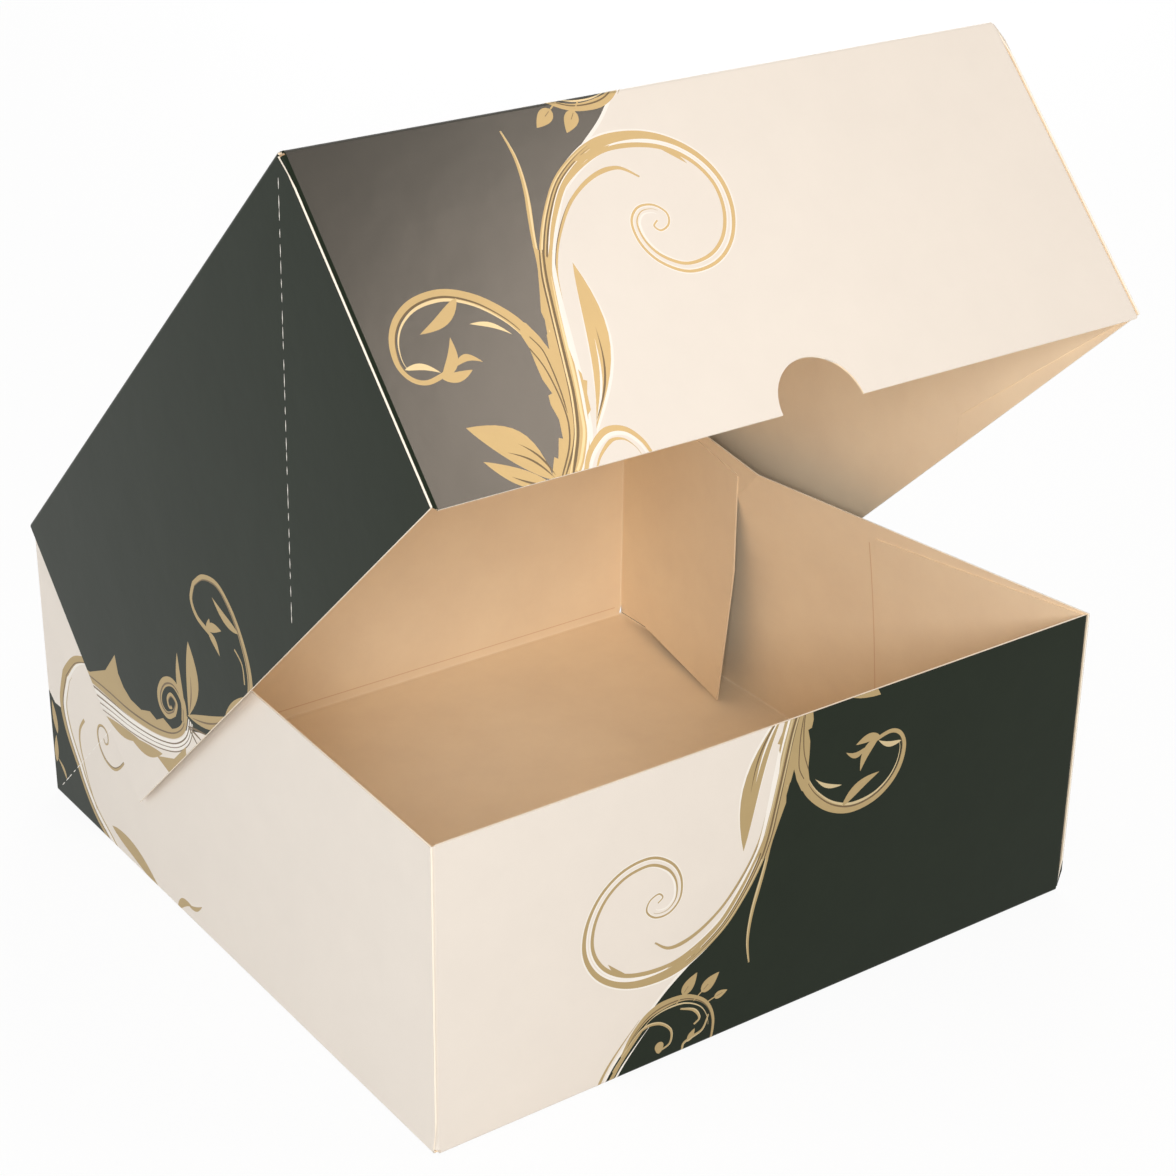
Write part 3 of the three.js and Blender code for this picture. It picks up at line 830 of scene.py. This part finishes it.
def base_side_outline():
    """The base's side wall, with the relief at its lower front corner."""
    return [
        Vector((RELIEF_SETBACK, WRAP)),
        Vector((DEPTH, WRAP)),
        Vector((DEPTH, HEIGHT)),
        Vector((0, HEIGHT)),
        Vector((0, RELIEF_HEIGHT)),
    ]


def lid_side_outline():
    """The lid's side panel, with the relief at its upper front corner."""
    return [
        Vector((HINGE_GAP, WRAP)),
        Vector((LID_DEPTH - RELIEF_SETBACK, WRAP)),
        Vector((LID_DEPTH, RELIEF_HEIGHT)),
        Vector((LID_DEPTH, LID_SIDE)),
        Vector((HINGE_GAP, LID_SIDE)),
    ]


def rounded_square(centre_x, centre_y, size, radius, steps=10):
    out = []
    reach = size / 2 - radius
    for quarter in range(4):
        for k in range(steps + 1):
            angle = math.pi / 2 * (quarter + k / steps)
            corner_x = reach if quarter in (0, 3) else -reach
            corner_y = reach if quarter in (0, 1) else -reach
            out.append(Vector((
                centre_x + corner_x + radius * math.cos(angle),
                centre_y + corner_y + radius * math.sin(angle),
            )))
    return out


def circle(centre, radius, steps=48):
    return [Vector((
        centre[0] + radius * math.cos(2 * math.pi * k / steps),
        centre[1] + radius * math.sin(2 * math.pi * k / steps),
    )) for k in range(steps)]


# The base's front has the lid's ornament, turned half round and shifted
BASE_ART_TURN = 180
BASE_ART_SHIFT = (-68.5, 116)


def base_skins():
    reach = HALF_WIDTH - BOARD - FOLD
    front_art = ornament(BASE_ART_TURN, BASE_ART_SHIFT)
    skin("front_print", "base", box_outline(-reach, WRAP, reach, HEIGHT), front_art,
         on_base_front, fold_lines(-reach - 1, reach + 1))
    skin("back_print", "base", box_outline(-reach, WRAP, reach, HEIGHT), back_fields(),
         on_base_back, fold_lines(-reach - 1, reach + 1))
    crease = dashes((DEPTH - 4, 4), (DEPTH - HEIGHT + 3, HEIGHT - 3))
    skin("left_print", "base", base_side_outline(), base_side_scroll() + crease,
         on_base_side(-1), wall_lines())
    skin("right_print", "base", base_side_outline(), crease,
         on_base_side(1), wall_lines(), ground=DARK_INK)


def lid_skins():
    reach = LID_INNER_HALF - FOLD
    notch = circle((NOTCH_X, 0), NOTCH_RADIUS)
    # The lid front's dark field takes the dark ink with painted sheen
    front_art = [(GLOSS_AND_PAINTED_SHEEN_INK if ink == DARK_INK else ink, shapes) for ink, shapes in ornament()]
    skin("lid_front_print", "lid", box_outline(-reach, 0, reach, LID_FRONT - WRAP), front_art,
         on_lid_front, fold_lines(-reach - 1, reach + 1, LID_FRONT), [notch])
    crease = dashes((LID_DEPTH - 5, 5), (LID_DEPTH - LID_SIDE + 3, LID_SIDE - 3))
    skin("lid_left_print", "lid", lid_side_outline(), side_scroll() + crease, on_lid_side(-1),
         fold_lines(-1, LID_DEPTH + 1), ground=DARK_INK)
    skin("lid_right_print", "lid", lid_side_outline(), crease, on_lid_side(1),
         fold_lines(-1, LID_DEPTH + 1))
    window = rounded_square(0, WINDOW_FROM_HINGE, WINDOW_SIZE, WINDOW_RADIUS)
    top_reach = LID_OUTER_HALF - FOLD
    top_art = top_field() + [
        (ink, [[Vector((p.x, LID_DEPTH + LID_FRONT - p.y)) for p in shape] for shape in shapes])
        for ink, shapes in crown_layers()
    ]
    top_outline = box_outline(-top_reach, HINGE_GAP, top_reach, LID_DEPTH - FOLD)
    skin("lid_top_print", "lid", top_outline, top_art, on_lid_top, (), [window])


# Board of the two trays: inside, outside and cut edges

def dress(node, zone, materials):
    """Gives each face of a solid's own mesh the material of its zone."""
    mesh = frame["nodes"][node].data
    mesh.materials.clear()
    for material in materials:
        mesh.materials.append(material)
    for polygon in mesh.polygons:
        polygon.material_index = zone(polygon.center / MM, polygon.normal)


# Faces of the cut edges get the cut-edge colour with its painted highlight
TRAY_MATERIALS = [tan, cream, raw_and_painted_highlight, dark]
TAN_ZONE, CREAM_ZONE, RAW_AND_PAINTED_HIGHLIGHT_ZONE, DARK_ZONE = range(4)
NEAR = 0.12

# How far a face's normal leans towards an axis, from none at 0 to all at 1
SOME = 0.1
SIDEWAYS = 0.7
RIM = 0.85
ENDWAYS = 0.9
FLAT = 0.95


def tray_zone(length, outer_half, coat_left, coat_right):
    """Sorts faces by place and normal: across from the middle, along from an end, up from the closed side."""
    def zone(across, along, up, n_across, n_along, n_up):
        side = 1 if across > 0 else -1
        coat = coat_right if side > 0 else coat_left
        reach = abs(across)
        in_wall = reach > outer_half - BOARD - NEAR or along < BOARD + NEAR or along > length - BOARD - NEAR
        if up > 2 * FOLD and n_up > RIM:
            return RAW_AND_PAINTED_HIGHLIGHT_ZONE if in_wall else TAN_ZONE
        if up < FOLD + NEAR and n_up < -SOME:
            return CREAM_ZONE if n_up < -FLAT else coat
        if up < 2 * FOLD and n_up > SOME:
            return TAN_ZONE
        if abs(n_along) > ENDWAYS:
            if reach > outer_half - BOARD - NEAR:
                return RAW_AND_PAINTED_HIGHLIGHT_ZONE
            return coat if along < NEAR or along > length - NEAR else TAN_ZONE
        if n_across * side > SIDEWAYS:
            return coat
        if n_across * side < -SIDEWAYS:
            return TAN_ZONE
        if along < 1.5 * FOLD:
            return coat if n_along < 0 else TAN_ZONE
        if along > length - 1.5 * FOLD:
            return coat if n_along > 0 else TAN_ZONE
        return TAN_ZONE
    return zone


def base_zone():
    zone = tray_zone(DEPTH, HALF_WIDTH, CREAM_ZONE, DARK_ZONE)
    def of(centre, normal):
        along = centre.y + DEPTH / 2
        side = 1 if centre.x > 0 else -1
        across = centre.x + side * wall_lean(side, along, max(centre.z, 0))
        return zone(across, along, centre.z, normal.x, normal.y, normal.z)
    return of


# A face beside the hinge that isn't its cut edge is sorted as if it lay this far in
CLEAR_OF_HINGE = 20


def lid_zone():
    zone = tray_zone(LID_DEPTH, LID_OUTER_HALF, DARK_ZONE, CREAM_ZONE)
    back = LID_TURN.transposed()
    def of(centre, normal):
        local = back @ (centre - HINGE_AT / MM)
        turned = back @ normal
        along = LID_DEPTH + local.y
        if along > LID_DEPTH - 2 * HINGE_GAP:
            if abs(turned.y) > 0.5:
                return RAW_AND_PAINTED_HIGHLIGHT_ZONE
            along = LID_DEPTH - CLEAR_OF_HINGE
        up = BOARD / 2 - local.z
        return zone(local.x, along, up, turned.x, turned.y, -turned.z)
    return of


dress("base_tray", base_zone(), TRAY_MATERIALS)
dress("lid", lid_zone(), TRAY_MATERIALS)
film_mesh = frame["nodes"]["window_film"].data
film_mesh.materials.clear()
film_mesh.materials.append(clear_film("clear_film"))
base_skins()
lid_skins()


# Score lines and perforations on the plain inside, and painted shade lines beside the flaps' free edges and
# low on the back wall

def inside_base_side(side):
    def place(u, v):
        return base_point(side * (HALF_WIDTH - BOARD - SKIN - wall_lean(side, u, v)), u, v)
    return place


def inside_floor(u, v):
    return base_point(u, v, BOARD + SKIN)


def inside_base_back(u, v):
    return base_point(u, DEPTH - BOARD - SKIN, v)


def inside_lid_side(side):
    def place(u, v):
        return lid_point(side * (LID_INNER_HALF - SKIN), u, v)
    return place


def marks(name, body, lines, place, material):
    """Thin flat lines, each from one point to another with a width, laid on a panel."""
    vertices = []
    faces = []
    for start, end, width in lines:
        a = Vector(start)
        b = Vector(end)
        across = Vector((a.y - b.y, b.x - a.x)).normalized() * width / 2
        count = max(1, int((b - a).length / 10))
        for k in range(count + 1):
            middle = a.lerp(b, k / count)
            vertices += [place(*(middle + across)), place(*(middle - across))]
            if k:
                last = len(vertices)
                faces.append((last - 4, last - 3, last - 1, last - 2))
    obj = mesh_object(name, vertices, faces, [material])
    face_sheet(obj, body, outwards=False)
    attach(obj, body)


def cut_line(start, end, dash=2.8, pitch=4.4, width=0.4):
    a = Vector(start)
    b = Vector(end)
    step = (b - a).normalized()
    count = int((b - a).length / pitch)
    return [(a + step * k * pitch, a + step * (k * pitch + dash), width) for k in range(count)]


def inside_marks():
    floor_half = HALF_WIDTH - FOLD - 1
    marks("floor_scores", "base", [
        ((-floor_half, DEPTH - 2.2), (floor_half, DEPTH - 2.2), 0.5),
        ((floor_half - 1, 4), (floor_half - 1, DEPTH - 6), 0.5),
        ((1 - floor_half, 4), (1 - floor_half, DEPTH - 6), 0.5),
    ], inside_floor, crease_pale)
    # A painted shade line low on the back wall, near its crease with the floor
    marks("back_crease_shade", "base", [((2 - floor_half, 4), (floor_half - 2, 4), 0.35)],
          inside_base_back, painted_crease_shade)
    for side, name in ((-1, "left"), (1, "right")):
        cuts = cut_line((DEPTH - 8, 8), (DEPTH - HEIGHT + 3, HEIGHT - 3))
        # A painted shade line beside the front flap's free edge
        edge = [((FLAP_LENGTH + 3.0, 4), (FLAP_LENGTH + 3.0, HEIGHT - 8), 0.4)]
        marks("base_" + name + "_cuts", "base", cuts, inside_base_side(side), crease_pale)
        marks("base_" + name + "_flap_edge_shade", "base", edge, inside_base_side(side), painted_crease_shade)
        lid_cuts = cut_line((148.6, 98.4), (157.6, 89.4), 2.6, 3.7, 0.7)
        marks("lid_" + name + "_cuts", "lid", lid_cuts, inside_lid_side(side), crease_pale)


inside_marks()


# The scored crease that joins lid and back wall

# Its reach down the wall and onto the lid, bulge over the hinge and thickness in millimetres, and its steps
CREASE_ON_WALL = 1.6
CREASE_ON_LID = 1.8
CREASE_BULGE = 0.34
CREASE_THICKNESS = 0.12
CREASE_STEPS = 24


def crease_strip():
    """A thin strip over the hinge gap, from the back wall's outside to the lid's."""
    reach = HALF_WIDTH - BOARD
    outer = [
        base_point(0, DEPTH + 2 * SKIN, HEIGHT - CREASE_ON_WALL),
        base_point(0, DEPTH + 2 * SKIN, HEIGHT - 0.1),
        HINGE_AT + Vector((0, CREASE_BULGE, 0.0)) * MM,
        lid_point(0, HINGE_GAP, -2 * SKIN),
        lid_point(0, CREASE_ON_LID, -2 * SKIN),
    ]
    inwards = Vector((0, -CREASE_THICKNESS, -CREASE_THICKNESS)) * MM
    profile = outer + [p + inwards for p in outer[::-1]]
    vertices = []
    for k in range(CREASE_STEPS + 1):
        x = (-reach + 2 * reach * k / CREASE_STEPS) * MM
        vertices += [Vector((x, p.y, p.z)) for p in profile]
    count = len(profile)
    faces = []
    for k in range(CREASE_STEPS):
        for i in range(count):
            j = (i + 1) % count
            faces.append((k * count + i, k * count + j, (k + 1) * count + j, (k + 1) * count + i))
    faces.append(tuple(range(count))[::-1])
    faces.append(tuple(CREASE_STEPS * count + i for i in range(count)))
    obj = mesh_object("hinge_crease", vertices, faces, [cream])
    work = bmesh.new()
    work.from_mesh(obj.data)
    bmesh.ops.recalc_face_normals(work, faces=work.faces)
    work.to_mesh(obj.data)
    work.free()
    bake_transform(obj)


crease_strip()


# Stage, light and camera

FLOOR_SIZE = 12
FLOOR_DROP = 0.0002
FLOOR_GREY = 0.86
FLOOR_GLOW = 0.93
ROOM_LIGHT = 0.42
PLAIN_LIGHT = (1, 1, 1)
WARM_LIGHT = (1, 0.84, 0.7)

# Name, place, what it looks at, side length in metres, power in watts and colour
LAMPS = (
    ("front_lamp", (-0.754, -1.08, 0.7), (0, 0, 0.12), 0.35, 9.7, PLAIN_LIGHT),
    ("left_lamp", (-1.4, 0.1, 0.5), (0, 0, 0.12), 0.8, 3.2, PLAIN_LIGHT),
    ("top_lamp", (0.06, 0.16, 1.4), (0, 0.01, 0), 0.6, 1.8, PLAIN_LIGHT),
    ("back_lamp", (0.9, 1.1, 0.5), (0, 0, 0.12), 0.8, 5, PLAIN_LIGHT),
    ("sheen_lamp", (0.61, -0.61, 1.06), (0, -0.1, 0.22), 0.36, 3.1, WARM_LIGHT),
)

# The camera fitted to the box's corners in the photo, its angles in degrees
CAMERA_AT = (-0.42496, -0.60852, 0.45787)
CAMERA_ANGLES = (63.831, -0.73, -35.587)
CAMERA_LENS = 79.61


def any_of(nodes, links, paths):
    """One for a camera, glossy or transmission ray, and otherwise zero."""
    total = paths.outputs["Is Camera Ray"]
    for kind in ("Is Glossy Ray", "Is Transmission Ray"):
        step = nodes.new("ShaderNodeMath")
        step.operation = "MAXIMUM"
        links.new(total, step.inputs[0])
        links.new(paths.outputs[kind], step.inputs[1])
        total = step.outputs[0]
    return total


def stage():
    """A white floor: for the camera most of it glows, and the rest takes the box's shadow."""
    bpy.ops.mesh.primitive_plane_add(size=FLOOR_SIZE, location=(0, 0, -FLOOR_DROP))
    floor = bpy.context.object
    floor.name = "floor"
    material, nodes, links, shader = new_material("floor_white")
    shader.inputs["Base Color"].default_value = (FLOOR_GREY, FLOOR_GREY, FLOOR_GREY, 1)
    shader.inputs["Roughness"].default_value = 0.6
    paths = nodes.new("ShaderNodeLightPath")
    glow = nodes.new("ShaderNodeEmission")
    glow.inputs["Color"].default_value = (1, 1, 1, 1)
    glow.inputs["Strength"].default_value = 1
    share = nodes.new("ShaderNodeMath")
    share.operation = "MULTIPLY"
    share.inputs[1].default_value = FLOOR_GLOW
    mix = nodes.new("ShaderNodeMixShader")
    output = nodes["Material Output"]
    links.new(any_of(nodes, links, paths), share.inputs[0])
    links.new(share.outputs[0], mix.inputs["Fac"])
    links.new(shader.outputs["BSDF"], mix.inputs[1])
    links.new(glow.outputs["Emission"], mix.inputs[2])
    links.new(mix.outputs["Shader"], output.inputs["Surface"])
    floor.data.materials.append(material)


def world():
    """White to the camera and in reflections, dimmer as a light on the box."""
    scene = bpy.context.scene
    scene.world = bpy.data.worlds.new("studio")
    scene.world.use_nodes = True
    nodes = scene.world.node_tree.nodes
    links = scene.world.node_tree.links
    back = nodes["Background"]
    back.inputs["Color"].default_value = (1, 1, 1, 1)
    paths = nodes.new("ShaderNodeLightPath")
    level = nodes.new("ShaderNodeMapRange")
    level.inputs["To Min"].default_value = ROOM_LIGHT
    level.inputs["To Max"].default_value = 1
    links.new(any_of(nodes, links, paths), level.inputs["Value"])
    links.new(level.outputs["Result"], back.inputs["Strength"])


def lamp(name, at, towards, size, power, colour):
    data = bpy.data.lights.new(name, "AREA")
    data.shape = "RECTANGLE"
    data.size = size
    data.size_y = size
    data.energy = power
    data.color = colour
    obj = add_object(name, data)
    obj.location = at
    obj.rotation_euler = (Vector(towards) - Vector(at)).to_track_quat("-Z", "Y").to_euler()


def camera():
    data = bpy.data.cameras.new("camera")
    data.sensor_width = 36
    data.lens = CAMERA_LENS
    data.clip_start = 0.01
    data.clip_end = 50
    obj = add_object("camera", data)
    obj.location = CAMERA_AT
    obj.rotation_euler = [math.radians(angle) for angle in CAMERA_ANGLES]
    bpy.context.scene.camera = obj


stage()
world()
for values in LAMPS:
    lamp(*values)
camera()
bpy.context.scene.view_settings.view_transform = "Standard"
